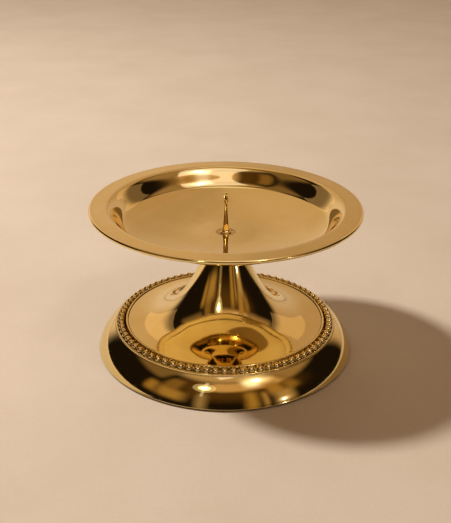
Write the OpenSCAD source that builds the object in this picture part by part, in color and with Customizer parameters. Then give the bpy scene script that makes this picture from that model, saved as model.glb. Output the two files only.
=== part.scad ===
// Pricket candle holder: a spun brass drip pan on a trumpet stem and a round
// foot with a beaded border. Millimetres, +Z up, origin on the axis at the
// level of the table.

/* [Drip pan] */
// Diameter over the rolled rim of the drip pan
pan_d = 140; // [136:0.5:150]
// Height of the rim's top above the table
rim_z = 80.5; // [78:0.5:84]
// Height of the flat floor of the pan above the table
floor_z = 65.2; // [64.5:0.1:66]
// Diameter of the flat middle of the floor
flat_d = 30; // [24:1:34]
// Diameter at which the floor turns up into the wall
bend_d = 104; // [102:0.5:105]
// Diameter of the crest where the wall meets the level flange
crest_d = 121.8; // [120:0.2:124]
// Diameter of the rolled edge's own round section
roll_d = 2.0; // [1.6:0.1:2.4]

/* [Foot] */
// Diameter of the skirt at the table
foot_d = 136.8; // [132:0.2:142]
// Height of the plate around the stem
plate_z = 16; // [15.8:0.1:16.2]
// Diameter of the plate inside the raised lip
plate_d = 104.4; // [104.2:0.1:104.6]
// Depth of the bead channel's floor below the plate
seat_drop = 1.9; // [1.8:0.1:2]
// Outer diameter of the bead seat
seat_d = 117.6; // [117.4:0.2:118.4]
// Slope of the skirt at its top, in degrees
skirt_top_slope = 36; // [30:1:42]
// Slope of the skirt at the table, in degrees
skirt_low_slope = 72; // [64:1:78]
// Width of the hem turned in under the skirt
hem_w = 6.5; // [5:0.5:9]

/* [Stem] */
// Factor on the steepness of the whole bell between plate and stem
bell_steepness = 1.0; // [0.98:0.01:1.02]
// Radius that the stem dies away to, far above the bell
neck_r = 4.6; // [4.4:0.1:4.8]

/* [Beads] */
// Number of beads in the border
bead_n = 80; // [76:1:84]
// Diameter of one bead
bead_d = 3.4; // [3:0.1:3.5]
// Diameter of the circle through the beads' centres
bead_ring_d = 112.2; // [112.1:0.1:112.3]

/* [Pricket] */
// Height of the pricket above the pan's floor
spike_h = 22; // [18:0.5:40]
// Diameter of the flared collar at the foot of the pricket
collar_d = 5.8; // [5.6:0.1:6.2]
// Diameter of the spike just above its flare
spike_d = 3.0; // [2.8:0.1:3.4]
// Diameter of the waist under the point
waist_d = 1.25; // [1:0.05:1.6]
// Diameter of the arrow head at the point
head_d = 2.5; // [2:0.1:3]

/* [Sheet and fastening] */
// Thickness of the spun brass sheet
sheet = 1.0; // [0.8:0.1:1.1]
// Thickness of the felt under the hem
felt_t = 0.9; // [0.6:0.1:1.2]
// Thickness of the fibre gasket between stem and pan
gasket_t = 0.5; // [0.3:0.1:0.6]

/* [Hidden] */
$fn = 128;

BRASS = [0.83, 0.64, 0.30];
BRASS_LIGHT = [0.88, 0.71, 0.38];
STEEL = [0.66, 0.67, 0.68];
FELT = [0.10, 0.09, 0.08];
FIBRE = [0.36, 0.13, 0.09];

// M5 screw sizes: the thread is drawn as its pitch cylinder
m5_shank_r = 2.24;
m5_nut_r = 2.30;
m5_hole_r = 2.7;
m5_pitch = 0.8;
nut_af = 8;
nut_h = 4;
washer_t = 0.5;
backing_t = 1.2;

// Heights of the stack on the axis
dimple = 0.3;                               // recess in the floor for the washer
pan_under = floor_z - sheet;                // underside of the pan's flat middle
land_z = pan_under - gasket_t;              // top of the stem's closed end
backing_top = land_z - sheet;
nut_top = backing_top - backing_t;
nut_low = nut_top - nut_h;
washer_z = floor_z - dimple;
collar_z = washer_z + washer_t;
shank_low = nut_low - 1.7;
tip_z = floor_z + spike_h;

// Helpers: cubic Bezier, arc, and a skin of constant thickness beside a path
function bez(a, b, c, d, n) = [for (i = [0:n]) let (t = i / n, s = 1 - t)
    s*s*s*a + 3*s*s*t*b + 3*s*t*t*c + t*t*t*d];
function arc(c, r, a0, a1, n) = [for (i = [0:n]) let (a = a0 + (a1 - a0)*i/n)
    c + r*[cos(a), sin(a)]];
function dir(p, i) = let (a = p[max(0, i - 1)], b = p[min(len(p) - 1, i + 1)],
    v = b - a) v / norm(v);
function beside(p, t) = [for (i = [0:len(p) - 1]) let (d = dir(p, i))
    p[i] + t*[d[1], -d[0]]];
function back(p) = [for (i = [len(p) - 1:-1:0]) p[i]];

module turned(points) rotate_extrude() polygon(points);
module ring(r_in, r_out, z0, z1)
    turned([[r_in, z0], [r_out, z0], [r_out, z1], [r_in, z1]]);

// ---- drip pan: one spun disc with a rolled edge and a dimpled middle ----
pan_bend = [bend_d/2, floor_z + 5.9];       // the floor meets the wall here
pan_crest = [crest_d/2, rim_z - 0.08];
pan_flat = [[m5_hole_r, washer_z], [3.5, washer_z], [3.8, floor_z], [flat_d/2, floor_z]];
pan_floor = bez([flat_d/2, floor_z], [flat_d/2 + 9, floor_z],
                pan_bend - [8, 3.5], pan_bend, 16);
pan_wall = bez(pan_bend, pan_bend + [3.1, 1.36], pan_crest - [3.2, 0.5], pan_crest, 14);
pan_flange = [[crest_d/2 + 1.2, rim_z], [pan_d/2 - roll_d/2, rim_z]];
pan_top = concat(pan_flat, [for (i = [1:len(pan_floor) - 1]) pan_floor[i]],
                 [for (i = [1:len(pan_wall) - 1]) pan_wall[i]], pan_flange);
pan_low = concat(
    [[m5_hole_r, washer_z - sheet], [3.7, washer_z - sheet], [4.0, pan_under]],
    beside([for (i = [3:len(pan_top) - 1]) pan_top[i]], sheet));

module drip_pan() color(BRASS) {
    turned(concat(pan_top, back(pan_low)));
    rotate_extrude() translate([pan_d/2 - roll_d/2, rim_z - roll_d/2])
        circle(d = roll_d, $fn = 48);
}

// ---- trumpet: plate and stem spun in one, closed at its small end ----
lap_z = plate_z - seat_drop - sheet;        // the skirt laps the trumpet's flange here
seat_z = plate_z - seat_drop;               // floor of the bead channel

// Steepness of the bell in degrees at a few radii, from the stem out to the plate
BELL = [[22, 55.4], [24, 49.8], [26, 45.2], [28, 40.2], [30, 35.2],
        [32.5, 30.6], [36, 25.2], [40, 17.6], [45, 9.4], [51, 3.2]];
bell_r = BELL[0][0];
bell_out = BELL[len(BELL) - 1][0];
bell_step = 1;
function bell_turn(i) = let (a = BELL[max(0, i - 1)], b = BELL[min(len(BELL) - 1, i + 1)])
    (b[1] - a[1])/(b[0] - a[0]);
// a smooth curve through the table's steepness
function bell_slope(r) = let (
    i = max([for (j = [0:len(BELL) - 2]) if (BELL[j][0] <= r + 1e-6) j]),
    h = BELL[i + 1][0] - BELL[i][0], t = (r - BELL[i][0])/h)
    bell_steepness*((2*t*t*t - 3*t*t + 1)*BELL[i][1] + (t*t*t - 2*t*t + t)*h*bell_turn(i)
    + (3*t*t - 2*t*t*t)*BELL[i + 1][1] + (t*t*t - t*t)*h*bell_turn(i + 1));
function bell_rise(r) = bell_step*(tan(bell_slope(r))
    + tan(bell_slope(max(bell_r, r - bell_step))))/2;
// the bell from the plate's edge inward, its height added up from its steepness
bell = back([for (r = bell_out, z = plate_z; r > bell_r - 0.5*bell_step;
    z = z + bell_rise(r), r = r - bell_step) [r, z]]);
bell_z = bell[0][1];
stem_decay = tan(bell_slope(bell_r))*(bell_r - neck_r);
function stem_r(z) = neck_r + (bell_r - neck_r)*exp(-(z - bell_z)/stem_decay);
stem_top = land_z - 1.1;
trumpet_stem = [for (i = [0:20]) let (z = stem_top + (bell_z - stem_top)*i/20)
    [stem_r(z), z]];
trumpet_land = [[m5_hole_r, land_z], [stem_r(stem_top) - 1.2, land_z],
                [stem_r(stem_top) - 0.35, land_z - 0.35]];
trumpet_edge = [[plate_d/2 - 0.25, plate_z - 0.06], [plate_d/2, plate_z - 0.35],
                [plate_d/2, lap_z], [57, lap_z]];
trumpet_top = concat(trumpet_land, trumpet_stem,
                     [for (i = [1:len(bell) - 1]) bell[i]], trumpet_edge);
trumpet_low = concat([[m5_hole_r, land_z - sheet], [stem_r(stem_top) - 1.9, land_z - sheet]],
    beside(concat([for (i = [1:len(trumpet_stem) - 1]) trumpet_stem[i]],
                  [for (i = [1:len(bell) - 1]) bell[i]]), sheet),
    [[plate_d/2 - sheet, plate_z - sheet - 0.15], [plate_d/2 - sheet, lap_z - sheet],
     [57, lap_z - sheet]]);

module trumpet_shell() color(BRASS) turned(concat(trumpet_top, back(trumpet_low)));

// ---- skirt: spun ring with a raised lip, a bead channel and a turned-in hem ----
seat_r = seat_d/2;
lip_r = 0.5;
lip_in = plate_d/2 + 0.2;                   // the lip stands just outside the plate's edge
skirt_a = [seat_r + 0.3, seat_z - 0.2];     // top of the convex skirt
skirt_b = [foot_d/2, felt_t + 0.2];         // foot of the convex skirt
skirt_k = (skirt_b[0] - skirt_a[0])/(sin(skirt_low_slope) - sin(skirt_top_slope));
skirt_h = (skirt_a[1] - skirt_b[1])/(cos(skirt_top_slope) - cos(skirt_low_slope));
skirt_curve = [for (i = [0:20]) let (a = skirt_top_slope
    + (skirt_low_slope - skirt_top_slope)*i/20)
    [skirt_a[0] + skirt_k*(sin(a) - sin(skirt_top_slope)),
     skirt_a[1] - skirt_h*(cos(skirt_top_slope) - cos(a))]];
bead_channel = [[lip_in + 1.35, seat_z + 1.0], [lip_in + 1.75, seat_z + 0.3],
    [lip_in + 2.2, seat_z], [seat_r - 1.25, seat_z], [seat_r - 1.0, seat_z + 0.35],
    [seat_r - 0.85, seat_z + 0.85], [seat_r - 0.6, seat_z + 0.9]];
skirt_top = concat([[lip_in, lap_z]],
    arc([lip_in + lip_r, plate_z - 0.05], lip_r, 180, 0, 12), bead_channel,
    arc([seat_r - 0.4, seat_z + 0.5], 0.4, 90, 0, 6),
    [[seat_r, seat_z + 0.02]], skirt_curve, [[foot_d/2 - 0.1, felt_t]]);
skirt_low = concat([[lip_in, lap_z], [seat_r - 0.5, lap_z]],
    beside([for (i = [1:len(skirt_curve) - 1]) skirt_curve[i]], sheet),
    [[foot_d/2 - sheet - 0.6, felt_t + sheet], [foot_d/2 - hem_w, felt_t + sheet],
     [foot_d/2 - hem_w, felt_t]]);

module skirt_shell() color(BRASS)
    turned(concat(skirt_top, back([for (i = [1:len(skirt_low) - 1]) skirt_low[i]])));

// ---- bead ring: flat-backed beaded wire soldered on the seat ----
module bead_ring() color(BRASS_LIGHT) intersection() {
    union() {
        for (i = [0:bead_n - 1]) rotate([0, 0, i*360/bead_n])
            translate([bead_ring_d/2, 0, seat_z + 1.05]) sphere(d = bead_d, $fn = 40);
        rotate_extrude() translate([bead_ring_d/2, seat_z + 0.75]) circle(r = 0.9, $fn = 32);
    }
    ring(bead_ring_d/2 - bead_d, bead_ring_d/2 + bead_d, seat_z, seat_z + 2*bead_d);
}

// ---- fastening stack inside the neck ----
module pan_gasket() color(FIBRE) ring(4.9, 8.6, land_z, pan_under);

module backing_washer() color(STEEL) ring(2.65, 7.5, nut_top, backing_top);

module hex_nut() color(STEEL) difference() {
    intersection() {
        translate([0, 0, nut_low]) cylinder(d = nut_af/cos(30), h = nut_h, $fn = 6);
        turned([[0, nut_low], [nut_af/2 - 0.1, nut_low], [nut_af/2 + 0.7, nut_low + 0.5],
                [nut_af/2 + 0.7, nut_top - 0.5], [nut_af/2 - 0.1, nut_top], [0, nut_top]]);
    }
    translate([0, 0, nut_low - 1]) cylinder(r = m5_nut_r, h = nut_h + 2);
}

module felt_ring() color(FELT) ring(foot_d/2 - hem_w - 0.5, foot_d/2 - 1.2, 0, felt_t);

// ---- pricket: turned spike with an M5 shank, and its washer ----
module pricket_washer() color(BRASS) ring(2.65, 3.2, washer_z, collar_z);

spike_flare = bez([collar_d/2, collar_z + 0.3], [collar_d/2 - 1.2, collar_z + 0.7],
                  [spike_d/2 + 0.25, collar_z + 1.6], [spike_d/2, collar_z + 3.0], 10);
spike_taper = bez([spike_d/2, collar_z + 3.0], [spike_d/2 - 0.3, collar_z + 6.5],
                  [waist_d/2 + 0.12, tip_z - 10.5], [waist_d/2, tip_z - 6.8], 12);
spike_head = concat([[waist_d/2 + 0.05, tip_z - 6.2]],
    bez([head_d/2 - 0.25, tip_z - 5.2], [head_d/2 + 0.05, tip_z - 4.9],
        [head_d/2 - 0.1, tip_z - 4.2], [head_d/2 - 0.3, tip_z - 3.2], 6),
    [[0.15, tip_z - 0.2], [0, tip_z]]);

module pricket() color(BRASS_LIGHT) {
    turned(concat([[0, shank_low], [m5_shank_r - 0.4, shank_low],
                   [m5_shank_r, shank_low + 0.4], [m5_shank_r, collar_z],
                   [collar_d/2, collar_z]],
        spike_flare, [for (i = [1:len(spike_taper) - 1]) spike_taper[i]], spike_head));
}

skirt_shell();
trumpet_shell();
bead_ring();
drip_pan();
pan_gasket();
backing_washer();
hex_nut();
felt_ring();
pricket_washer();
pricket();
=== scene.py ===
"""Looks of the pricket candle holder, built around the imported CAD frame.

Every piece is a lathe-turned or swept mesh made from the same profiles as the CAD solids, in
millimetres turned into metres, and rides on the CAD body it belongs to.
"""
import math

import bpy
from mathutils import Matrix, Vector


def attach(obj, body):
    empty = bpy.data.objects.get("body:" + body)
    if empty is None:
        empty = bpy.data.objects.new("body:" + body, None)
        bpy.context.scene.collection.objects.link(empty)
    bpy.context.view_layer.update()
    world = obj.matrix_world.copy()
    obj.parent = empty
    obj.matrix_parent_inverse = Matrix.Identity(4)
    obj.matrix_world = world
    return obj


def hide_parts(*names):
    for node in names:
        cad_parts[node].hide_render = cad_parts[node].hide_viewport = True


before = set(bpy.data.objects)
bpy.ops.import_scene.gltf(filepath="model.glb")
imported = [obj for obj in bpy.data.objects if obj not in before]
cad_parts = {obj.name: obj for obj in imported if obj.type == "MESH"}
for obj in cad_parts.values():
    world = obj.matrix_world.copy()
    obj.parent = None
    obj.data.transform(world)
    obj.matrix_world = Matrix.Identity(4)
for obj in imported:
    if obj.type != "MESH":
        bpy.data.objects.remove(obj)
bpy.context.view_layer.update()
SCENE = bpy.context.scene
MM = 0.001
TAU = 2 * math.pi

# ------------------------------------------------------------------ sizes, in mm, as in the CAD source
PAN_D, RIM_Z, FLOOR_Z, FLAT_D, BEND_D, CREST_D, ROLL_D = 140.0, 80.5, 65.2, 30.0, 104.0, 121.8, 2.0
FOOT_D, PLATE_Z, PLATE_D, SEAT_D, SEAT_DROP = 136.8, 16.0, 104.4, 117.6, 1.9
SLOPE_TOP, SLOPE_LOW, HEM_W = 36.0, 72.0, 6.5
BELL_SLOPE = [(22, 55.4), (24, 49.8), (26, 45.2), (28, 40.2), (30, 35.2), (32.5, 30.6), (36, 25.2), (40, 17.6), (45, 9.4), (51, 3.2)]
NECK_R = 4.6
BEAD_N, BEAD_D, BEAD_RING_D, BEAD_UP = 80, 3.4, 112.2, 1.05
SPIKE_H, COLLAR_D, SPIKE_D, WAIST_D, HEAD_D = 22.0, 5.8, 3.0, 1.25, 2.5
SHEET, FELT_T, GASKET_T = 1.0, 0.9, 0.5
SHANK_R, NUT_R, HOLE_R, PITCH = 2.24, 2.30, 2.7, 0.8
DIMPLE, WASHER_T, BACKING_T, NUT_AF, NUT_H = 0.3, 0.5, 1.2, 8.0, 4.0
PAN_UNDER = FLOOR_Z - SHEET
LAND_Z = PAN_UNDER - GASKET_T
BACKING_TOP = LAND_Z - SHEET
NUT_TOP = BACKING_TOP - BACKING_T
NUT_LOW = NUT_TOP - NUT_H
WASHER_Z = FLOOR_Z - DIMPLE
COLLAR_Z = WASHER_Z + WASHER_T
SHANK_LOW = NUT_LOW - 1.7
TIP_Z = FLOOR_Z + SPIKE_H


# ------------------------------------------------------------------ profile helpers, (r, z) in mm
def bez(a, b, c, d, n):
    out = []
    for i in range(n + 1):
        t = i / n
        s = 1 - t
        out.append(tuple(s**3 * a[k] + 3 * s * s * t * b[k] + 3 * s * t * t * c[k] + t**3 * d[k] for k in (0, 1)))
    return out


def arc(centre, radius, a0, a1, n):
    out = []
    for i in range(n + 1):
        a = math.radians(a0 + (a1 - a0) * i / n)
        out.append((centre[0] + radius * math.cos(a), centre[1] + radius * math.sin(a)))
    return out


def beside(path, t):
    """The path moved sideways by t, to its right as it runs."""
    out = []
    for i, p in enumerate(path):
        a, b = path[max(0, i - 1)], path[min(len(path) - 1, i + 1)]
        dx, dz = b[0] - a[0], b[1] - a[1]
        n = math.hypot(dx, dz)
        out.append((p[0] + t * dz / n, p[1] - t * dx / n))
    return out


def line(a, b, step):
    """Points after a up to b, about step apart."""
    n = max(1, round(math.hypot(b[0] - a[0], b[1] - a[1]) / step))
    return [(a[0] + (b[0] - a[0]) * i / n, a[1] + (b[1] - a[1]) * i / n) for i in range(1, n + 1)]


def rounded(corners, n=5):
    """A path through (r, z, fillet) corners, each fillet an arc tangent to its two legs."""
    out = []
    m = len(corners)
    for i, (r, z, f) in enumerate(corners):
        if f <= 0 or i in (0, m - 1):
            out.append((r, z))
            continue
        p, q = corners[i - 1], corners[i + 1]
        ax, az, bx, bz = p[0] - r, p[1] - z, q[0] - r, q[1] - z
        la, lb = math.hypot(ax, az), math.hypot(bx, bz)
        ax, az, bx, bz = ax / la, az / la, bx / lb, bz / lb
        dot = max(-1, min(1, ax * bx + az * bz))
        half = math.acos(dot) / 2
        if half > math.radians(88) or half < 0.05:
            out.append((r, z))
            continue
        reach = min(f / math.tan(half), la * 0.48, lb * 0.48)
        rad = reach * math.tan(half)
        mx, mz = ax + bx, az + bz
        lm = math.hypot(mx, mz)
        cx, cz = r + mx / lm * rad / math.sin(half), z + mz / lm * rad / math.sin(half)
        a0 = math.atan2(z + az * reach - cz, r + ax * reach - cx)
        a1 = math.atan2(z + bz * reach - cz, r + bx * reach - cx)
        turn = (a1 - a0 + math.pi) % TAU - math.pi
        out += [(cx + rad * math.cos(a0 + turn * k / n), cz + rad * math.sin(a0 + turn * k / n)) for k in range(n + 1)]
    return out


# ------------------------------------------------------------------ mesh helpers
def new_object(name, verts, faces, uvs=None, sharp=()):
    me = bpy.data.meshes.new(name)
    me.from_pydata(verts, [], faces)
    if uvs is not None:
        layer = me.uv_layers.new(name="OFBake")
        layer.uv.foreach_set("vector", uvs)
    me.polygons.foreach_set("use_smooth", [True] * len(me.polygons))
    if sharp:
        me.edges.foreach_set("use_edge_sharp", [tuple(sorted(e.vertices)) in sharp for e in me.edges])
    me.update()
    ob = bpy.data.objects.new(name, me)
    SCENE.collection.objects.link(ob)
    return ob


def lathe(name, loop, segs, shape=None, crease=32.0):
    """A closed solid of revolution from a closed (r, z) loop. shape(theta, r, z, i) may move a ring's points.

    The loop runs so that the solid is on its left seen with r to the right and z up, or the other way:
    the faces are turned outward from its area's sign. Corners over crease degrees stay sharp.
    """
    loop = [p for i, p in enumerate(loop) if math.hypot(p[0] - loop[i - 1][0], p[1] - loop[i - 1][1]) > 1e-4]
    area = sum(loop[i - 1][0] * loop[i][1] - loop[i][0] * loop[i - 1][1] for i in range(len(loop)))
    if area < 0:
        loop = loop[::-1]
    m = len(loop)
    on_axis = [p[0] < 1e-6 for p in loop]
    first, verts = [], []
    for i, (r, z) in enumerate(loop):
        first.append(len(verts))
        if on_axis[i]:
            verts.append((0.0, 0.0, z * MM))
            continue
        for j in range(segs):
            th = TAU * j / segs
            rr, zz = shape(th, r, z, i) if shape else (r, z)
            verts.append((rr * math.cos(th) * MM, rr * math.sin(th) * MM, zz * MM))
    s = [0.0]
    for i in range(m):
        a, b = loop[i], loop[(i + 1) % m]
        s.append(s[-1] + math.hypot(a[0] - b[0], a[1] - b[1]))
    total = s[-1]
    faces, uvs = [], []
    for i in range(m):
        k = (i + 1) % m
        if on_axis[i] and on_axis[k]:
            continue
        v0, v1 = 0.002 + 0.996 * s[i] / total, 0.002 + 0.996 * s[i + 1] / total
        for j in range(segs):
            l = (j + 1) % segs
            u0, u1 = 0.002 + 0.996 * j / segs, 0.002 + 0.996 * (j + 1) / segs
            if on_axis[i]:
                faces.append((first[i], first[k] + l, first[k] + j))
                uvs += [(u0 + u1) / 2, v0, u1, v1, u0, v1]
            elif on_axis[k]:
                faces.append((first[i] + j, first[i] + l, first[k]))
                uvs += [u0, v0, u1, v0, (u0 + u1) / 2, v1]
            else:
                faces.append((first[i] + j, first[i] + l, first[k] + l, first[k] + j))
                uvs += [u0, v0, u1, v0, u1, v1, u0, v1]
    sharp = set()
    for i in range(m):
        if on_axis[i]:
            continue
        a, b, c = loop[i - 1], loop[i], loop[(i + 1) % m]
        t = math.atan2(c[1] - b[1], c[0] - b[0]) - math.atan2(b[1] - a[1], b[0] - a[0])
        t = abs((t + math.pi) % TAU - math.pi)
        if t > math.radians(crease):
            for j in range(segs):
                sharp.add(tuple(sorted((first[i] + j, first[i] + (j + 1) % segs))))
    return new_object(name, verts, faces, uvs, sharp)


def by_zone(ob, loops, segs, zones):
    """Gives each band of a lathe its material: zones is [(first point, material index)], in the loop's own order."""
    # the lathe's faces run band by band, segs faces to each
    me = ob.data
    index = []
    for i in range(loops):
        k = 0
        for start, slot in zones:
            if i >= start:
                k = slot
        index += [k] * segs
    me.polygons.foreach_set("material_index", index[: len(me.polygons)])


def hum(x, seed, octaves=4):
    """A smooth repeatable wave of about -1 to 1 over an angle x, closed after a full turn."""
    total, amp, size = 0.0, 1.0, 0.0
    for o in range(octaves):
        k = 3 + 5 * o + (seed * 7 + o * 3) % 5
        total += amp * math.sin(k * x + seed * 1.7 + o * 2.1)
        size += amp
        amp *= 0.7
    return total / size


# ------------------------------------------------------------------ drip pan
def pan_loop():
    bend, crest = (BEND_D / 2, FLOOR_Z + 5.9), (CREST_D / 2, RIM_Z - 0.08)
    floor = bez((FLAT_D / 2, FLOOR_Z), (FLAT_D / 2 + 9, FLOOR_Z), (bend[0] - 8, bend[1] - 3.5), bend, 44)
    wall = bez(bend, (bend[0] + 3.1, bend[1] + 1.36), (crest[0] - 3.2, crest[1] - 0.5), crest, 52)
    curve = floor + wall[1:] + [(CREST_D / 2 + 1.2, RIM_Z)]
    edge = (PAN_D / 2 - ROLL_D / 2, RIM_Z)
    dimple = rounded([(HOLE_R, WASHER_Z, 0), (3.5, WASHER_Z, 0.12), (3.8, FLOOR_Z, 0.2), (6.0, FLOOR_Z, 0)], 4)
    top = dimple + line((6.0, FLOOR_Z), (FLAT_D / 2, FLOOR_Z), 1.5)[:-1] + curve + line(curve[-1], edge, 1.0)
    low = beside(floor[::2] + wall[2::2] + curve[-2:] + line(curve[-1], (edge[0] - 1.4, edge[1]), 1.2), SHEET)
    dent = rounded([(HOLE_R, WASHER_Z - SHEET, 0), (3.7, WASHER_Z - SHEET, 0.2), (4.0, PAN_UNDER, 0.15), (6.2, PAN_UNDER, 0)], 4)
    under = dent + line((6.2, PAN_UNDER), (FLAT_D / 2, PAN_UNDER), 2.0)[:-1] + low
    roll = arc((edge[0], RIM_Z - ROLL_D / 2), ROLL_D / 2, -172, 88, 26)
    return under + roll + top[::-1], len(under) + len(roll)


# ------------------------------------------------------------------ trumpet: stem and plate in one
def bell_slope(r):
    """Steepness of the bell in degrees: a smooth curve through the table's points."""
    k = BELL_SLOPE
    n = len(k)

    def tangent(i):
        a, b = k[max(0, i - 1)], k[min(n - 1, i + 1)]
        return (b[1] - a[1]) / (b[0] - a[0])

    i = max([j for j in range(n - 1) if k[j][0] <= r + 1e-9])
    h = k[i + 1][0] - k[i][0]
    t = (r - k[i][0]) / h
    return ((2 * t**3 - 3 * t * t + 1) * k[i][1] + (t**3 - 2 * t * t + t) * h * tangent(i)
            + (3 * t * t - 2 * t**3) * k[i + 1][1] + (t**3 - t * t) * h * tangent(i + 1))


def bell_line(step):
    """The bell from the plate's edge inward, found by adding up its steepness."""
    r, z = BELL_SLOPE[-1][0], PLATE_Z
    out = [(r, z)]
    for i in range(round((BELL_SLOPE[-1][0] - BELL_SLOPE[0][0]) / step)):
        z += step * (math.tan(math.radians(bell_slope(r))) + math.tan(math.radians(bell_slope(r - step)))) / 2
        r -= step
        out.append((r, z))
    return out


BELL = bell_line(0.5)[::-1]
BELL_R, BELL_Z = BELL[0]
DECAY = math.tan(math.radians(BELL_SLOPE[0][1])) * (BELL_R - NECK_R)
STEM_TOP = LAND_Z - 1.1
LAP_Z = PLATE_Z - SEAT_DROP - SHEET
SEAT_Z = PLATE_Z - SEAT_DROP
SEAT_R = SEAT_D / 2


def stem_r(z):
    return NECK_R + (BELL_R - NECK_R) * math.exp(-(z - BELL_Z) / DECAY)


def trumpet_loop():
    stem = [(stem_r(z), z) for z in [STEM_TOP + (BELL_Z - STEM_TOP) * i / 44 for i in range(45)]]
    r0, edge_r = stem_r(STEM_TOP), PLATE_D / 2
    shoulder = rounded([(HOLE_R, LAND_Z, 0), (r0 - 1.1, LAND_Z, 0.5), (r0 - 0.35, LAND_Z - 0.35, 0.6), stem[0] + (0,)], 5)
    edge = rounded([(51.0, PLATE_Z, 0), (edge_r - 0.25, PLATE_Z - 0.06, 0.3), (edge_r, PLATE_Z - 0.35, 0.3), (edge_r, LAP_Z, 0), (57, LAP_Z, 0)], 4)
    outer = shoulder[:-1] + stem + BELL[1:] + edge[1:]
    low = beside(stem[1::2] + BELL[2::2], SHEET)
    inner = [(HOLE_R, LAND_Z - SHEET), (r0 - 2.1, LAND_Z - SHEET), (r0 - 1.6, LAND_Z - SHEET - 0.35)] + low + [
        (edge_r - SHEET, PLATE_Z - SHEET - 0.15), (edge_r - SHEET, LAP_Z - SHEET), (57, LAP_Z - SHEET)]
    return inner + outer[::-1], len(inner)


# ------------------------------------------------------------------ skirt, with its raised lip and hem
LIP_R = 0.5


def skirt_loop():
    a, b = (SEAT_R + 0.3, SEAT_Z - 0.2), (FOOT_D / 2, FELT_T + 0.2)
    st, sl = math.radians(SLOPE_TOP), math.radians(SLOPE_LOW)
    k = (b[0] - a[0]) / (math.sin(sl) - math.sin(st))
    h = (a[1] - b[1]) / (math.cos(st) - math.cos(sl))
    curve = []
    for i in range(49):
        q = st + (sl - st) * i / 48
        curve.append((a[0] + k * (math.sin(q) - math.sin(st)), a[1] - h * (math.cos(st) - math.cos(q))))
    edge_r, top = PLATE_D / 2 + 0.2, PLATE_Z - 0.05
    lip = arc((edge_r + LIP_R, top), LIP_R, 180, -6, 26)
    channel = rounded([lip[-1] + (0,), (edge_r + 1.35, SEAT_Z + 1.0, 0.8), (edge_r + 1.75, SEAT_Z + 0.3, 0.6), (edge_r + 2.2, SEAT_Z, 0.5),
                       (SEAT_R - 1.25, SEAT_Z, 0.4), (SEAT_R - 1.0, SEAT_Z + 0.35, 0.4), (SEAT_R - 0.85, SEAT_Z + 0.85, 0.4), (SEAT_R - 0.6, SEAT_Z + 0.9, 0.3),
                       (SEAT_R - 0.4, SEAT_Z + 0.9, 0)], 5)
    corner = arc((SEAT_R - 0.4, SEAT_Z + 0.5), 0.4, 90, 0, 8)
    notch = rounded([corner[-1] + (0,), (SEAT_R, SEAT_Z + 0.02, 0.12), curve[0] + (0.25,), curve[2] + (0,)], 5)
    hem = arc((FOOT_D / 2 - 0.22, FELT_T + 0.24), 0.24, 12, -90, 6)
    outer = [(edge_r, LAP_Z), (edge_r, top - 0.4)] + lip + channel[1:-1] + corner + notch[1:-1] + curve[2:-1] + hem
    flange_in = FOOT_D / 2 - HEM_W
    low = beside(curve[::2], SHEET)[1:-1]
    inner = line((FOOT_D / 2 - 0.22, FELT_T), (flange_in + 0.2, FELT_T), 1.6) + [
        (flange_in, FELT_T + 0.2), (flange_in, FELT_T + SHEET - 0.2), (flange_in + 0.2, FELT_T + SHEET)] + line(
        (flange_in + 0.2, FELT_T + SHEET), (FOOT_D / 2 - SHEET - 0.9, FELT_T + SHEET), 1.6) + [(FOOT_D / 2 - SHEET - 0.5, FELT_T + SHEET + 0.25)] + low[::-1] + [
        (SEAT_R - 0.5, LAP_Z), (SEAT_R - 1.5, LAP_Z)]
    loop = outer + inner
    return loop, len(outer)


# ------------------------------------------------------------------ bead ring
def bead_ring():
    """One beaded wire: 80 round beads on a thin core, cut flat underneath where it is soldered down."""
    ring_r, bead_r, zc = BEAD_RING_D / 2, BEAD_D / 2, SEAT_Z + BEAD_UP
    neck = 0.6
    reach = math.acos(neck / bead_r)
    pitch = TAU * ring_r / BEAD_N
    stops = []
    for i in range(-8, 9):
        q = reach * i / 8
        stops.append((bead_r * math.sin(q), bead_r * math.cos(q)))
    gap = pitch / 2 - bead_r * math.sin(reach)
    stops += [(bead_r * math.sin(reach) + gap * 0.45, neck - 0.05), (pitch / 2, neck - 0.07), (bead_r * math.sin(reach) + gap * 1.55, neck - 0.05)]
    around, verts, faces = 26, [], []
    count = BEAD_N * len(stops)
    for b in range(BEAD_N):
        # no two struck beads are quite alike
        grow = 1 - 0.006 * (1 + math.sin(b * 2.399 + 0.4))
        for s, rho in stops:
            phi = TAU * b / BEAD_N + s / ring_r
            for j in range(around):
                psi = TAU * j / around
                r = ring_r + rho * grow * math.cos(psi)
                z = max(SEAT_Z, zc - 0.25 * (1 - (rho - neck) / (bead_r - neck)) + rho * grow * math.sin(psi))
                verts.append((r * math.cos(phi) * MM, r * math.sin(phi) * MM, z * MM))
    uvs = []
    for i in range(count):
        k = (i + 1) % count
        u0, u1 = 0.002 + 0.996 * i / count, 0.002 + 0.996 * (i + 1) / count
        for j in range(around):
            l = (j + 1) % around
            v0, v1 = 0.002 + 0.996 * j / around, 0.002 + 0.996 * (j + 1) / around
            faces.append((i * around + j, k * around + j, k * around + l, i * around + l))
            uvs += [u0, v0, u1, v0, u1, v1, u0, v1]
    sharp = set()
    ob = new_object("bead_border", verts, faces, uvs, sharp)
    return ob


# ------------------------------------------------------------------ thread shape, shared by shank and nut
def thread(theta, z, root, crest):
    """Radius of an M5 thread: a 60 degree vee with a flat at crest and root, right-handed."""
    p = (z / PITCH - theta / TAU) % 1.0
    t = abs(2 * p - 1)
    t = min(1.0, max(0.0, (t - 0.14) / 0.70))
    return root + (crest - root) * t


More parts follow.
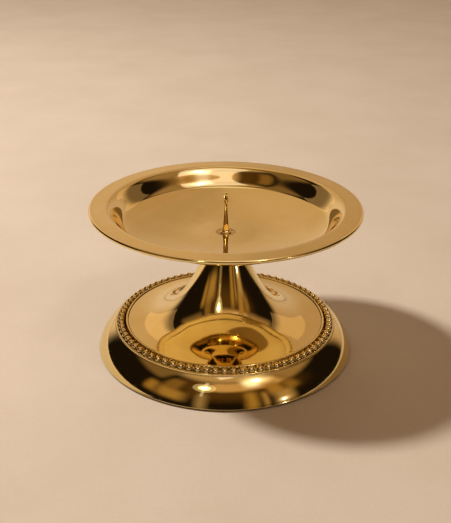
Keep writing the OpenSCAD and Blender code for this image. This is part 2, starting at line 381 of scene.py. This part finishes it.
def shank_shape(theta, r, z, i):
    if abs(r - SHANK_R) > 0.01 or z > COLLAR_Z - 0.35 or z < SHANK_LOW + 0.3:
        return r, z
    fade = min(1.0, (COLLAR_Z - 0.35 - z) / 0.5, (z - SHANK_LOW - 0.3) / 0.5)
    return SHANK_R - 0.10 + fade * (thread(theta, z, 1.98, 2.42) - SHANK_R + 0.10), z


def pricket_loop():
    flare = bez((COLLAR_D / 2, COLLAR_Z + 0.3), (COLLAR_D / 2 - 1.2, COLLAR_Z + 0.7), (SPIKE_D / 2 + 0.25, COLLAR_Z + 1.6), (SPIKE_D / 2, COLLAR_Z + 3.0), 20)
    taper = bez((SPIKE_D / 2, COLLAR_Z + 3.0), (SPIKE_D / 2 - 0.3, COLLAR_Z + 6.5), (WAIST_D / 2 + 0.12, TIP_Z - 10.5), (WAIST_D / 2, TIP_Z - 6.8), 30)
    head = bez((HEAD_D / 2 - 0.25, TIP_Z - 5.2), (HEAD_D / 2 + 0.05, TIP_Z - 4.9), (HEAD_D / 2 - 0.1, TIP_Z - 4.2), (HEAD_D / 2 - 0.3, TIP_Z - 3.2), 12)
    neck = bez((WAIST_D / 2, TIP_Z - 6.8), (WAIST_D / 2, TIP_Z - 6.2), (WAIST_D / 2 + 0.1, TIP_Z - 5.6), (HEAD_D / 2 - 0.25, TIP_Z - 5.2), 8)
    point = line(head[-1], (0.16, TIP_Z - 0.22), 0.4) + [(0.08, TIP_Z - 0.05), (0.0, TIP_Z)]
    collar = rounded([(SHANK_R, COLLAR_Z, 0), (COLLAR_D / 2, COLLAR_Z, 0.1), (COLLAR_D / 2, COLLAR_Z + 0.3, 0.06), flare[2] + (0,)], 4)
    rows = 170
    shank = [(SHANK_R, SHANK_LOW + 0.4 + (COLLAR_Z - 0.02 - SHANK_LOW - 0.4) * i / rows) for i in range(rows + 1)]
    loop = [(0.0, SHANK_LOW), (SHANK_R - 0.5, SHANK_LOW), (SHANK_R - 0.4, SHANK_LOW + 0.04)] + shank + collar + flare[3:] + taper[1:] + neck[1:] + head[1:] + point
    return loop


# ------------------------------------------------------------------ fastening stack
def nut_shape(theta, r, z, i):
    if r > 3.0:  # the six flats, cut back by the chamfer cone at both ends
        q = (theta + TAU / 12) % (TAU / 6) - TAU / 12
        flat = (NUT_AF / 2) / math.cos(q)
        end = min(z - NUT_LOW, NUT_TOP - z)
        cone = NUT_AF / 2 - 0.1 + end * 1.6
        return min(flat, cone, r + 1.0), z
    end = min(z - NUT_LOW, NUT_TOP - z)
    if end < 0.02:
        return 2.62, z
    fade = max(0.0, min(1.0, (end - 0.1) / 0.3))
    cut = thread(theta, z, 1.98, 2.42) + 0.10
    return 2.58 + fade * (max(cut, 2.12) - 2.58), z


def nut_loop():
    outer = [(NUT_AF / 2 - 0.1, NUT_LOW)] + [(NUT_AF / 2, NUT_LOW + 0.5 * i / 8) for i in range(1, 9)] + [(NUT_AF / 2, NUT_LOW + 0.5 + (NUT_H - 1.0) * i / 3) for i in range(1, 4)] + [
        (NUT_AF / 2, NUT_TOP - 0.5 + 0.5 * i / 8) for i in range(1, 8)] + [(NUT_AF / 2 - 0.1, NUT_TOP)]
    rows = 64
    bore = [(2.5, NUT_TOP - NUT_H * i / rows) for i in range(rows + 1)]
    return [(3.2, NUT_LOW)] + outer + [(3.2, NUT_TOP)] + bore


def ring_loop(r_in, r_out, z0, z1, f):
    c = rounded([(r_in, (z0 + z1) / 2, 0), (r_in, z0, f), (r_out, z0, f), (r_out, z1, f), (r_in, z1, f), (r_in, (z0 + z1) / 2, 0)], 4)
    return c[:-1]


def felt_loop(steps=14):
    r_in, r_out = FOOT_D / 2 - HEM_W - 0.5, FOOT_D / 2 - 1.2
    low = [(r_in + (r_out - r_in) * i / steps, 0.0) for i in range(steps + 1)]
    side = [(r_out + 0.03, FELT_T * 0.3), (r_out + 0.03, FELT_T * 0.7)]
    high = [(r_out - (r_out - r_in) * i / steps, FELT_T) for i in range(steps + 1)]
    back = [(r_in - 0.03, FELT_T * 0.7), (r_in - 0.03, FELT_T * 0.3)]
    return low + side + high + back


def felt_shape(theta, r, z, i):
    """Pressed felt: a slightly wavy cut edge and an uneven nap."""
    mid = FOOT_D / 2 - 1.2 - 2.9
    out = (r - mid) / 2.9
    r += 0.10 * hum(theta, 3 if out > 0 else 5, 7) * max(0.0, abs(out) - 0.6) * 2.0 * (1 if out > 0 else -1)
    if z < 0.02:
        z = 0.018 * (1 + hum(theta * 1.0 + r * 0.9, 2, 6)) * (0.3 if abs(out) < 0.9 else 2.0)
    return r, z


# ------------------------------------------------------------------ node helpers
class Graph:
    """Short calls to build a node tree; a value is a number or a socket."""

    def __init__(self, tree):
        self.tree = tree
        tree.nodes.clear()

    def add(self, kind, inputs=None, **props):
        n = self.tree.nodes.new(kind)
        for k, v in props.items():
            setattr(n, k, v)
        for k, v in (inputs or {}).items():
            self.put(n.inputs[k], v)
        return n

    def put(self, socket, v):
        if isinstance(v, bpy.types.NodeSocket):
            self.tree.links.new(v, socket)
        elif v is not None:
            if socket.type == "RGBA" and len(v) == 3:
                v = (*v, 1.0)
            socket.default_value = v

    def math(self, op, a, b=None, c=None, clamp=False):
        n = self.add("ShaderNodeMath", operation=op, use_clamp=clamp)
        for k, v in enumerate((a, b, c)):
            self.put(n.inputs[k], v)
        return n.outputs[0]

    def vec(self, op, a, b=None, scale=None):
        n = self.add("ShaderNodeVectorMath", operation=op)
        self.put(n.inputs[0], a)
        if b is not None:
            self.put(n.inputs[1], b)
        if scale is not None:
            self.put(n.inputs["Scale"], scale)
        return n.outputs["Value"] if op in ("LENGTH", "DOT_PRODUCT") else n.outputs["Vector"]

    def mix(self, fac, a, b, blend="MIX"):
        n = self.add("ShaderNodeMix", data_type="RGBA", blend_type=blend, clamp_factor=True)
        self.put(n.inputs["Factor"], fac)
        self.put(n.inputs[6], a)
        self.put(n.inputs[7], b)
        return n.outputs[2]

    def ramp(self, v, lo, hi, out_lo=0.0, out_hi=1.0, smooth=True):
        n = self.add("ShaderNodeMapRange", interpolation_type="SMOOTHSTEP" if smooth else "LINEAR")
        for k, x in (("Value", v), ("From Min", lo), ("From Max", hi), ("To Min", out_lo), ("To Max", out_hi)):
            self.put(n.inputs[k], x)
        return n.outputs["Result"]

    def noise(self, vector, scale=1.0, detail=2.0, rough=0.5, w=None, distort=0.0):
        n = self.add("ShaderNodeTexNoise", noise_dimensions="4D" if w is not None else "3D")
        self.put(n.inputs["Vector"], vector)
        for k, x in (("Scale", scale), ("Detail", detail), ("Roughness", rough), ("Distortion", distort)):
            self.put(n.inputs[k], x)
        if w is not None:
            self.put(n.inputs["W"], w)
        return n.outputs["Fac"]

    def xyz(self, v):
        return self.add("ShaderNodeSeparateXYZ", {"Vector": v}).outputs

    def join(self, x, y, z):
        return self.add("ShaderNodeCombineXYZ", {"X": x, "Y": y, "Z": z}).outputs[0]

    def sum(self, *vs):
        out = vs[0]
        for v in vs[1:]:
            out = self.math("ADD", out, v)
        return out


def material(name):
    m = bpy.data.materials.new(name)
    m.use_nodes = True
    g = Graph(m.node_tree)
    out = g.add("ShaderNodeOutputMaterial")
    p = g.add("ShaderNodeBsdfPrincipled")
    g.tree.links.new(p.outputs[0], out.inputs[0])
    return m, g, p


def turned_coords(g):
    """Place in millimetres: the vector, r, z, and the angle's cosine and sine."""
    tc = g.add("ShaderNodeTexCoord")
    mm = g.vec("SCALE", tc.outputs["Object"], scale=1000.0)
    s = g.xyz(mm)
    r = g.math("MAXIMUM", g.vec("LENGTH", g.join(s[0], s[1], 0.0)), 0.02)
    return mm, r, s[2], g.math("DIVIDE", s[0], r), g.math("DIVIDE", s[1], r)


def brass(name, light, deep, rough=0.05, ring=(2.6, 0.006), peel=(0.22, 0.005), smudge=0.03, scratch=1.0,
          patina_and_shade=(), dirt_and_shade=(0.20, 0.10, 0.03), specks=0.5, nap=0.0):
    """Polished brass: buffing rings, hair scratches, hand smudges, pin specks, and brown patina mixed with painted
    shade in corners, creases and gaps.

    ring = (waves per mm, slope), peel = (waves per mm, slope); patina_and_shade = [(r, z, width, strength)], spots
    darkened towards dirt_and_shade: brown patina plus painted shade.
    """
    m, g, p = material(name)
    mm, r, z, co, si = turned_coords(g)
    across = g.math("ADD", r, g.math("MULTIPLY", z, 0.83))
    # buffing rings run right round; they fade in and out along the way
    fine = g.noise(g.join(g.math("MULTIPLY", across, ring[0]), g.math("MULTIPLY", z, ring[0] * 0.4), g.math("MULTIPLY", co, 0.7)), 1.0, 3.0, 0.6, w=g.math("MULTIPLY", si, 0.7))
    broad = g.noise(g.join(g.math("MULTIPLY", across, 0.32), g.math("MULTIPLY", z, 0.2), g.math("MULTIPLY", co, 0.5)), 1.0, 2.0, 0.5, w=g.math("MULTIPLY", si, 0.5))
    cloud = g.noise(mm, 0.045, 4.0, 0.62, distort=0.4)
    blot = g.noise(mm, 0.30, 3.0, 0.6)
    skin = g.noise(mm, peel[0], 1.0, 0.4)
    # hair scratches in two directions, broken up
    turn_a = g.add("ShaderNodeMapping", {"Vector": mm, "Rotation": (0.3, 0.2, 0.55), "Scale": (0.10, 3.4, 1.7)}).outputs[0]
    turn_b = g.add("ShaderNodeMapping", {"Vector": mm, "Rotation": (-0.2, 0.5, -0.95), "Scale": (3.0, 0.09, 2.2)}).outputs[0]
    hair = g.sum(g.ramp(g.noise(turn_a, 1.0, 2.0, 0.7), 0.66, 0.74), g.ramp(g.noise(turn_b, 1.0, 2.0, 0.7), 0.67, 0.75))
    hair = g.math("MULTIPLY", hair, g.ramp(g.noise(mm, 0.11, 2.0), 0.42, 0.62), clamp=True)
    # pin specks, a few per square centimetre at most
    vor = g.add("ShaderNodeTexVoronoi", {"Vector": mm, "Scale": 0.16, "Randomness": 1.0}, feature="F1", distance="EUCLIDEAN")
    size = g.xyz(vor.outputs["Color"])[0]
    speck = g.ramp(vor.outputs["Distance"], g.math("MULTIPLY", g.math("SUBTRACT", size, 0.62), 0.11), g.math("MULTIPLY", g.math("SUBTRACT", size, 0.62), 0.07))
    speck = g.math("MULTIPLY", g.math("MULTIPLY", speck, g.math("GREATER_THAN", size, 0.64)), specks, clamp=True)
    # corner gathers the patina_and_shade spots: brown patina plus painted shade in corners, creases and the gaps
    # between beads
    corner = None
    for pr, pz, width, strength in patina_and_shade:
        dr, dz = g.math("SUBTRACT", r, pr), g.math("SUBTRACT", z, pz)
        d = g.math("ADD", g.math("MULTIPLY", dr, dr), g.math("MULTIPLY", dz, dz))
        one = g.math("MULTIPLY", g.math("EXPONENT", g.math("DIVIDE", d, -width * width)), strength)
        corner = one if corner is None else g.math("MAXIMUM", corner, one)
    if corner is not None:
        corner = g.math("MULTIPLY", corner, g.ramp(blot, 0.25, 0.6, 0.55, 1.0), clamp=True)
    tone = g.math("ADD", g.ramp(cloud, 0.32, 0.68), g.math("MULTIPLY", g.math("SUBTRACT", fine, 0.5), 0.35), clamp=True)
    colour = g.mix(tone, light, deep)
    colour = g.mix(g.math("MULTIPLY", hair, 0.22), colour, tuple(min(1.0, c * 1.12) for c in light))
    # painted shade: corners and gaps are darkened towards dirt_and_shade, partly real brown patina
    if corner is not None:
        colour = g.mix(g.math("MULTIPLY", corner, 0.8, clamp=True), colour, dirt_and_shade)
    colour = g.mix(speck, colour, (0.09, 0.05, 0.02))
    g.put(p.inputs["Base Color"], colour)
    p.inputs["Metallic"].default_value = 1.0
    rr = g.sum(rough, g.math("MULTIPLY", g.ramp(blot, 0.42, 0.70), smudge), g.math("MULTIPLY", g.math("SUBTRACT", fine, 0.5), smudge * 0.8),
               g.math("MULTIPLY", hair, 0.05 * scratch), g.math("MULTIPLY", speck, 0.3))
    if corner is not None:
        rr = g.math("ADD", rr, g.math("MULTIPLY", corner, 0.30))
    if nap:
        rr = g.math("ADD", rr, nap)
    g.put(p.inputs["Roughness"], g.math("MAXIMUM", rr, 0.02, clamp=True))
    # heights in metres, so that a slope of 0.006 stays a slope of 0.006
    high = g.sum(
        g.math("MULTIPLY", fine, ring[1] / ring[0] * 0.6 * MM),
        g.math("MULTIPLY", broad, ring[1] * 1.2 * MM),
        g.math("MULTIPLY", skin, peel[1] / peel[0] * 0.6 * MM),
        g.math("MULTIPLY", hair, -0.0006 * scratch * MM),
        g.math("MULTIPLY", speck, -0.010 * MM))
    bump = g.add("ShaderNodeBump", {"Strength": 1.0, "Distance": 1.0, "Height": high})
    g.put(p.inputs["Normal"], bump.outputs[0])
    return m


def steel(name):
    m, g, p = material(name)
    mm, r, z, co, si = turned_coords(g)
    grain = g.noise(mm, 2.6, 4.0, 0.7)
    blot = g.noise(mm, 0.5, 3.0)
    face = g.noise(g.join(g.math("MULTIPLY", r, 5.0), g.math("MULTIPLY", z, 5.0), co), 1.0, 2.0, w=si)
    g.put(p.inputs["Base Color"], g.mix(g.ramp(blot, 0.35, 0.7), (0.62, 0.62, 0.60), (0.47, 0.45, 0.40)))
    p.inputs["Metallic"].default_value = 1.0
    g.put(p.inputs["Roughness"], g.sum(0.26, g.math("MULTIPLY", grain, 0.16)))
    bump = g.add("ShaderNodeBump", {"Strength": 1.0, "Distance": 1.0, "Height": g.sum(
        g.math("MULTIPLY", grain, 0.004 * MM), g.math("MULTIPLY", face, 0.003 * MM))})
    g.put(p.inputs["Normal"], bump.outputs[0])
    return m


def fibre(name):
    """Red vulcanised fibre, slightly mottled, with a pressed grain."""
    m, g, p = material(name)
    mm, r, z, co, si = turned_coords(g)
    mottle = g.noise(mm, 0.7, 4.0, 0.6)
    thread_a = g.noise(g.add("ShaderNodeMapping", {"Vector": mm, "Scale": (0.6, 7.0, 7.0)}).outputs[0], 1.0, 3.0)
    g.put(p.inputs["Base Color"], g.mix(g.ramp(mottle, 0.3, 0.7), (0.30, 0.055, 0.030), (0.19, 0.030, 0.018)))
    g.put(p.inputs["Roughness"], g.sum(0.48, g.math("MULTIPLY", thread_a, 0.25)))
    bump = g.add("ShaderNodeBump", {"Strength": 1.0, "Distance": 1.0, "Height": g.math("MULTIPLY", thread_a, 0.02 * MM)})
    g.put(p.inputs["Normal"], bump.outputs[0])
    return m


def felt(name):
    """Pressed wool felt: matted fibres in every direction, lint and a soft sheen."""
    m, g, p = material(name)
    mm, r, z, co, si = turned_coords(g)
    a = g.noise(g.add("ShaderNodeMapping", {"Vector": mm, "Rotation": (0, 0, 0.4), "Scale": (1.2, 9.0, 5.0)}).outputs[0], 1.0, 3.0, 0.6, distort=0.8)
    b = g.noise(g.add("ShaderNodeMapping", {"Vector": mm, "Rotation": (0, 0, -0.9), "Scale": (8.0, 1.1, 5.0)}).outputs[0], 1.0, 3.0, 0.6, distort=0.8)
    mat = g.math("MAXIMUM", a, b)
    lint = g.ramp(g.noise(g.add("ShaderNodeMapping", {"Vector": mm, "Rotation": (0, 0, 0.9), "Scale": (0.8, 6.0, 6.0)}).outputs[0], 1.0, 2.0), 0.72, 0.8)
    colour = g.mix(g.ramp(mat, 0.45, 0.72), (0.016, 0.011, 0.008), (0.060, 0.042, 0.030))
    colour = g.mix(g.math("MULTIPLY", lint, 0.6), colour, (0.16, 0.13, 0.10))
    g.put(p.inputs["Base Color"], colour)
    p.inputs["Roughness"].default_value = 0.95
    p.inputs["Sheen Weight"].default_value = 0.5
    p.inputs["Sheen Roughness"].default_value = 0.5
    bump = g.add("ShaderNodeBump", {"Strength": 1.0, "Distance": 1.0, "Height": g.math("MULTIPLY", mat, 0.09 * MM)})
    g.put(p.inputs["Normal"], bump.outputs[0])
    return m


# ------------------------------------------------------------------ the pieces
GOLD_LIGHT, GOLD_DEEP = (0.92, 0.755, 0.37), (0.88, 0.70, 0.30)
# patina_and_shade spots: painted shade with some brown patina, in the pricket's dimple, under the pan's roll, at the
# plate's edge, in the bead seat and on the stem under the pan
BRASS_PAN = brass("brass_pan", GOLD_LIGHT, GOLD_DEEP, patina_and_shade=[(4.4, 65.0, 0.8, 0.8), (68.0, 79.4, 0.7, 0.9)])
BRASS_FOOT = brass("brass_foot", GOLD_LIGHT, GOLD_DEEP, patina_and_shade=[(52.3, 15.5, 0.45, 0.9), (9.4, 63.5, 0.8, 0.7)])
BRASS_SKIRT = brass("brass_skirt", GOLD_LIGHT, GOLD_DEEP, patina_and_shade=[
    (52.35, 15.6, 0.40, 0.9), (54.5, 14.2, 0.7, 1.0), (57.5, 14.2, 0.6, 1.0), (58.9, 14.0, 0.30, 0.9)])
# the gaps between the beads are painted near black: painted shade between the beads, with some patina
BRASS_BEAD = brass("brass_bead", (0.94, 0.79, 0.46), (0.90, 0.73, 0.37), rough=0.045, ring=(2.0, 0.002), peel=(0.8, 0.004), patina_and_shade=[
    (54.6, 14.2, 0.6, 1.0), (57.5, 14.2, 0.6, 1.0), (56.1, 14.9, 0.90, 1.3)], dirt_and_shade=(0.075, 0.038, 0.013))
BRASS_TURNED = brass("brass_turned", (0.91, 0.70, 0.32), (0.86, 0.63, 0.25), rough=0.055, ring=(7.0, 0.012), peel=(0.5, 0.003), patina_and_shade=[(3.4, 65.4, 0.35, 0.9)])
BRASS_RAW = brass("brass_inside", (0.62, 0.40, 0.15), (0.46, 0.27, 0.085), rough=0.24, ring=(1.5, 0.05), peel=(0.3, 0.02), smudge=0.22, specks=1.0, dirt_and_shade=(0.16, 0.085, 0.03))
STEEL = steel("zinc_steel")
FIBRE = fibre("red_fibre")
FELT = felt("wool_felt")

loop, split = pan_loop()
pan = lathe("drip_pan_spun", loop, 360)
pan.data.materials.append(BRASS_PAN)
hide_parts("drip_pan")

loop, split = trumpet_loop()
trumpet = lathe("trumpet_spun", loop, 320)
trumpet.data.materials.append(BRASS_RAW)
trumpet.data.materials.append(BRASS_FOOT)
by_zone(trumpet, len(trumpet.data.polygons) // 320, 320, [(0, 0), (split, 1)])
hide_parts("trumpet_shell")

loop, split = skirt_loop()
skirt = lathe("skirt_spun", loop[::-1], 360)
skirt.data.materials.append(BRASS_RAW)
skirt.data.materials.append(BRASS_SKIRT)
by_zone(skirt, len(skirt.data.polygons) // 360, 360, [(0, 0), (len(loop) - split, 1)])
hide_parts("skirt_shell")

beads = bead_ring()
beads.data.materials.append(BRASS_BEAD)
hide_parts("bead_ring")

gasket = lathe("fibre_gasket", ring_loop(4.9, 8.6, LAND_Z, PAN_UNDER, 0.08), 96)
gasket.data.materials.append(FIBRE)
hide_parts("pan_gasket")

backing = lathe("steel_backing_washer", ring_loop(2.65, 7.5, NUT_TOP, BACKING_TOP, 0.18), 128)
backing.data.materials.append(STEEL)
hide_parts("backing_washer")

nut = lathe("steel_hex_nut", nut_loop(), 180, shape=nut_shape)
nut.data.materials.append(STEEL)
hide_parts("hex_nut")

pad = lathe("felt_pad", felt_loop(), 360, shape=felt_shape)
pad.data.materials.append(FELT)
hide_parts("felt_ring")

washer = lathe("turned_washer", ring_loop(2.65, 3.2, WASHER_Z, COLLAR_Z, 0.12), 128)
washer.data.materials.append(BRASS_TURNED)
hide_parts("pricket_washer")

spike = lathe("turned_pricket", pricket_loop(), 128, shape=shank_shape)
spike.data.materials.append(BRASS_TURNED)
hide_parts("pricket")

for piece in (pan, trumpet, skirt, beads, gasket, backing, nut, pad):
    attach(piece, "root")
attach(washer, "washer")
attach(spike, "pricket")

# ------------------------------------------------------------------ floor
floor_mesh = bpy.data.meshes.new("floor")
floor_mesh.from_pydata([(-6, -6, 0), (6, -6, 0), (6, 6, 0), (-6, 6, 0)], [], [(0, 1, 2, 3)])
floor = bpy.data.objects.new("floor", floor_mesh)
SCENE.collection.objects.link(floor)
m, g, p = material("pale_floor")
mm, r, z, co, si = turned_coords(g)
soft = g.noise(mm, 0.012, 4.0, 0.6)
grit = g.noise(mm, 0.5, 4.0, 0.7)
pale = g.mix(g.ramp(soft, 0.3, 0.7), (0.600, 0.524, 0.452), (0.562, 0.486, 0.411))
pale = g.mix(g.math("MULTIPLY", g.ramp(grit, 0.35, 0.75), 0.22), pale, (0.512, 0.430, 0.354))
g.put(p.inputs["Base Color"], pale)
p.inputs["Roughness"].default_value = 0.62
p.inputs["Specular IOR Level"].default_value = 0.25
g.put(p.inputs["Normal"], g.add("ShaderNodeBump", {"Strength": 0.35, "Distance": 0.0004, "Height": grit}).outputs[0])
floor_mesh.materials.append(m)

# ------------------------------------------------------------------ studio: soft panels round a dark camera side
# (azimuth centre, elevation centre, half width, half height, edge az, edge el, colour, strength)
# azimuth 0 is straight behind the object and 90 to its right, in degrees
PANELS = [
    (166, 48, 62, 26, 20, 12, (1.0, 0.46, 0.10), 0.085),      # dim room behind the camera, under all the rest
    (0, 90, 181, 28, 2, 7, (1.0, 0.65, 0.37), 0.50),          # ceiling
    (-88, 64, 24, 23, 6, 5, (1.0, 0.58, 0.24), 0.20),         # upper side walls
    (84, 64, 26, 23, 6, 5, (1.0, 0.60, 0.28), 0.32),
    (25, 24, 23, 42, 7, 9, (1.0, 0.65, 0.38), 0.50),          # wall behind, right and left half
    (-18, 24, 22, 42, 7, 9, (1.0, 0.68, 0.43), 0.61),
    (-22, 7, 20, 10, 10, 12, (1.0, 0.76, 0.62), 0.78),        # its sunlit foot
    (22, 6, 20, 9, 9, 11, (1.0, 0.72, 0.54), 0.60),
    (154, 51, 41, 9, 8, 4, (1.0, 0.60, 0.29), 0.60),          # window behind the camera, shaded and clear part
    (148, 55, 8, 7, 6, 5, (0.96, 0.90, 0.98), 1.25),
    (0, 67, 26, 3, 12, 4, (1.0, 0.90, 0.74), 1.15),           # strip light high over the wall
    (131, 36, 7, 12, 5, 6, (1.0, 0.53, 0.14), 0.38),          # doorways and curtains, dim
    (115, 32, 6, 9, 5, 6, (1.0, 0.52, 0.13), 0.27),
    (156, 20, 5, 18, 5, 8, (1.0, 0.55, 0.13), 0.38),
    (127, 14, 8, 12, 6, 6, (1.0, 0.62, 0.28), 0.44),
    (144, 18, 2, 14, 3, 6, (1.0, 0.58, 0.20), 0.42),
    (-128, 38, 8, 14, 5, 6, (1.0, 0.52, 0.14), 0.22),
    (-132, 20, 12, 9, 8, 6, (1.0, 0.57, 0.17), 0.38),
    (-112, 22, 5, 10, 4, 6, (1.0, 0.53, 0.12), 0.34),
    (-160, 18, 4, 16, 5, 8, (1.0, 0.66, 0.34), 0.34),
]
# small bright lamps: (azimuth, elevation, radius of the core, radius of the glow, strength, glow strength)
LAMPS = [
    (136.0, 60.0, 2.8, 15.0, 20.0, 2.0),
    (129.0, 8.2, 1.6, 8.0, 18.0, 1.4),
]


def build_world():
    w = bpy.data.worlds.new("studio")
    SCENE.world = w
    w.use_nodes = True
    g = Graph(w.node_tree)
    out = g.add("ShaderNodeOutputWorld")
    back = g.add("ShaderNodeBackground")
    g.tree.links.new(back.outputs[0], out.inputs[0])
    d = g.xyz(g.vec("NORMALIZE", g.add("ShaderNodeTexCoord").outputs["Generated"]))
    az = g.math("DEGREES", g.math("ARCTAN2", d[0], d[1]))
    el = g.math("DEGREES", g.math("ARCSINE", d[2]))
    colour = (0.010, 0.006, 0.003)
    for a, e, wa, we, sa, se, c, strength in PANELS:
        u = g.math("ABSOLUTE", g.math("WRAP", g.math("SUBTRACT", az, float(a)), 180.0, -180.0))
        v = g.math("ABSOLUTE", g.math("SUBTRACT", el, float(e)))
        mask = g.math("MULTIPLY", g.ramp(u, float(wa + sa), float(wa - sa)), g.ramp(v, float(we + se), float(we - se)))
        colour = g.mix(mask, colour, tuple(x * y * strength for x, y in zip(c, (1.0, 0.967, 0.90))))
    direction = g.vec("NORMALIZE", g.add("ShaderNodeTexCoord").outputs["Generated"])
    for a, e, core, glow, strength, haze in LAMPS:
        ra, re = math.radians(a), math.radians(e)
        toward = (math.sin(ra) * math.cos(re), math.cos(ra) * math.cos(re), math.sin(re))
        off = g.math("DEGREES", g.math("ARCCOSINE", g.math("MINIMUM", g.vec("DOT_PRODUCT", direction, toward), 0.999999)))
        light = g.math("ADD", g.ramp(off, core * 1.3, core * 0.5, 0.0, strength), g.math("MULTIPLY", g.math("POWER", g.ramp(off, glow, 0.0, smooth=False), 2.0), haze))
        colour = g.vec("ADD", colour, g.vec("SCALE", (1.0, 0.93, 0.82), scale=light))
    g.put(back.inputs["Color"], colour)
    back.inputs["Strength"].default_value = 1.0


build_world()


def soft_light(name, azimuth, elevation, distance, size, power, colour, glossy):
    a, e = math.radians(azimuth), math.radians(elevation)
    data = bpy.data.lights.new(name, "AREA")
    data.shape, data.size, data.energy, data.color = "DISK", size, power, colour
    ob = bpy.data.objects.new(name, data)
    ob.location = (distance * math.sin(a) * math.cos(e), distance * math.cos(a) * math.cos(e), distance * math.sin(e))
    ob.rotation_euler = (-ob.location).to_track_quat("-Z", "Y").to_euler()
    SCENE.collection.objects.link(ob)
    ob.visible_camera = False
    ob.visible_glossy = glossy
    return ob


soft_light("key", -71.5, 52.6, 1.6, 0.20, 27.0, (1.0, 0.93, 0.83), False)


def card(name, middle, azimuth, elevation, across, up, wide, high, distance, colour, light, shape="RECTANGLE"):
    """A lit card seen only in the metal: it stands distance from middle in a direction, moved across and up."""
    a, e = math.radians(azimuth), math.radians(elevation)
    away = Vector((math.sin(a) * math.cos(e), math.cos(a) * math.cos(e), math.sin(e)))
    right = Vector((math.cos(a), -math.sin(a), 0.0))
    top = right.cross(away)
    data = bpy.data.lights.new(name, "AREA")
    data.shape, data.size, data.size_y, data.color = shape, wide * MM, high * MM, colour
    data.energy = light * wide * high * MM * MM * 1.45
    ob = bpy.data.objects.new(name, data)
    ob.matrix_world = Matrix.Translation(Vector(middle) * MM + (away * distance + right * across + top * up) * MM) @ Matrix((right, top, away)).transposed().to_4x4()
    SCENE.collection.objects.link(ob)
    ob.visible_camera = False
    ob.visible_diffuse = False
    return ob


card("card_right", (0, 0, 60), 62, 22, -110, 45, 220, 130, 330, (1.0, 0.64, 0.35), 0.39)
card("card_left", (0, 0, 60), -48, 18, 42, 62, 160, 180, 330, (1.0, 0.67, 0.40), 0.455)
card("card_window", (-15, 50, 76), 148, 52, 5, 86, 225, 180, 300, (0.80, 0.77, 0.90), 1.5)
# the lamp on the left: a bright core in two soft rings, and the tall slit it stands in
card("lamp_slit", (-10, -60, 10), -159, 46, 0, -14, 16, 190, 332, (1.0, 0.90, 0.78), 0.9)
card("lamp_ring", (-10, -60, 10), -159, 47, 0, 0, 112, 112, 331, (1.0, 0.84, 0.60), 0.62, "DISK")
card("lamp_glow", (-10, -60, 10), -159, 47, 0, 0, 62, 62, 329, (1.0, 0.90, 0.76), 2.0, "DISK")
card("lamp_core", (-10, -60, 10), -159, 47, 0, 0, 27, 27, 327, (1.0, 0.94, 0.86), 18.0, "DISK")

# ------------------------------------------------------------------ camera
cam_data = bpy.data.cameras.new("camera")
cam_data.lens, cam_data.sensor_width, cam_data.sensor_fit = 60.88, 36.0, "AUTO"
cam_data.clip_start, cam_data.clip_end = 0.02, 30.0
camera = bpy.data.objects.new("camera", cam_data)
camera.location = (0.0, -0.4234, 0.2439)
camera.rotation_euler = (math.radians(90 - 24.81), 0.0, 0.0)
camera.rotation_euler = (camera.rotation_euler.to_matrix() @ Matrix.Rotation(math.radians(0.55), 3, "Z")).to_euler()
SCENE.collection.objects.link(camera)
SCENE.camera = camera

SCENE.view_settings.view_transform = "Standard"
SCENE.view_settings.look = "None"
SCENE.view_settings.exposure = 0.0
SCENE.view_settings.gamma = 1.0
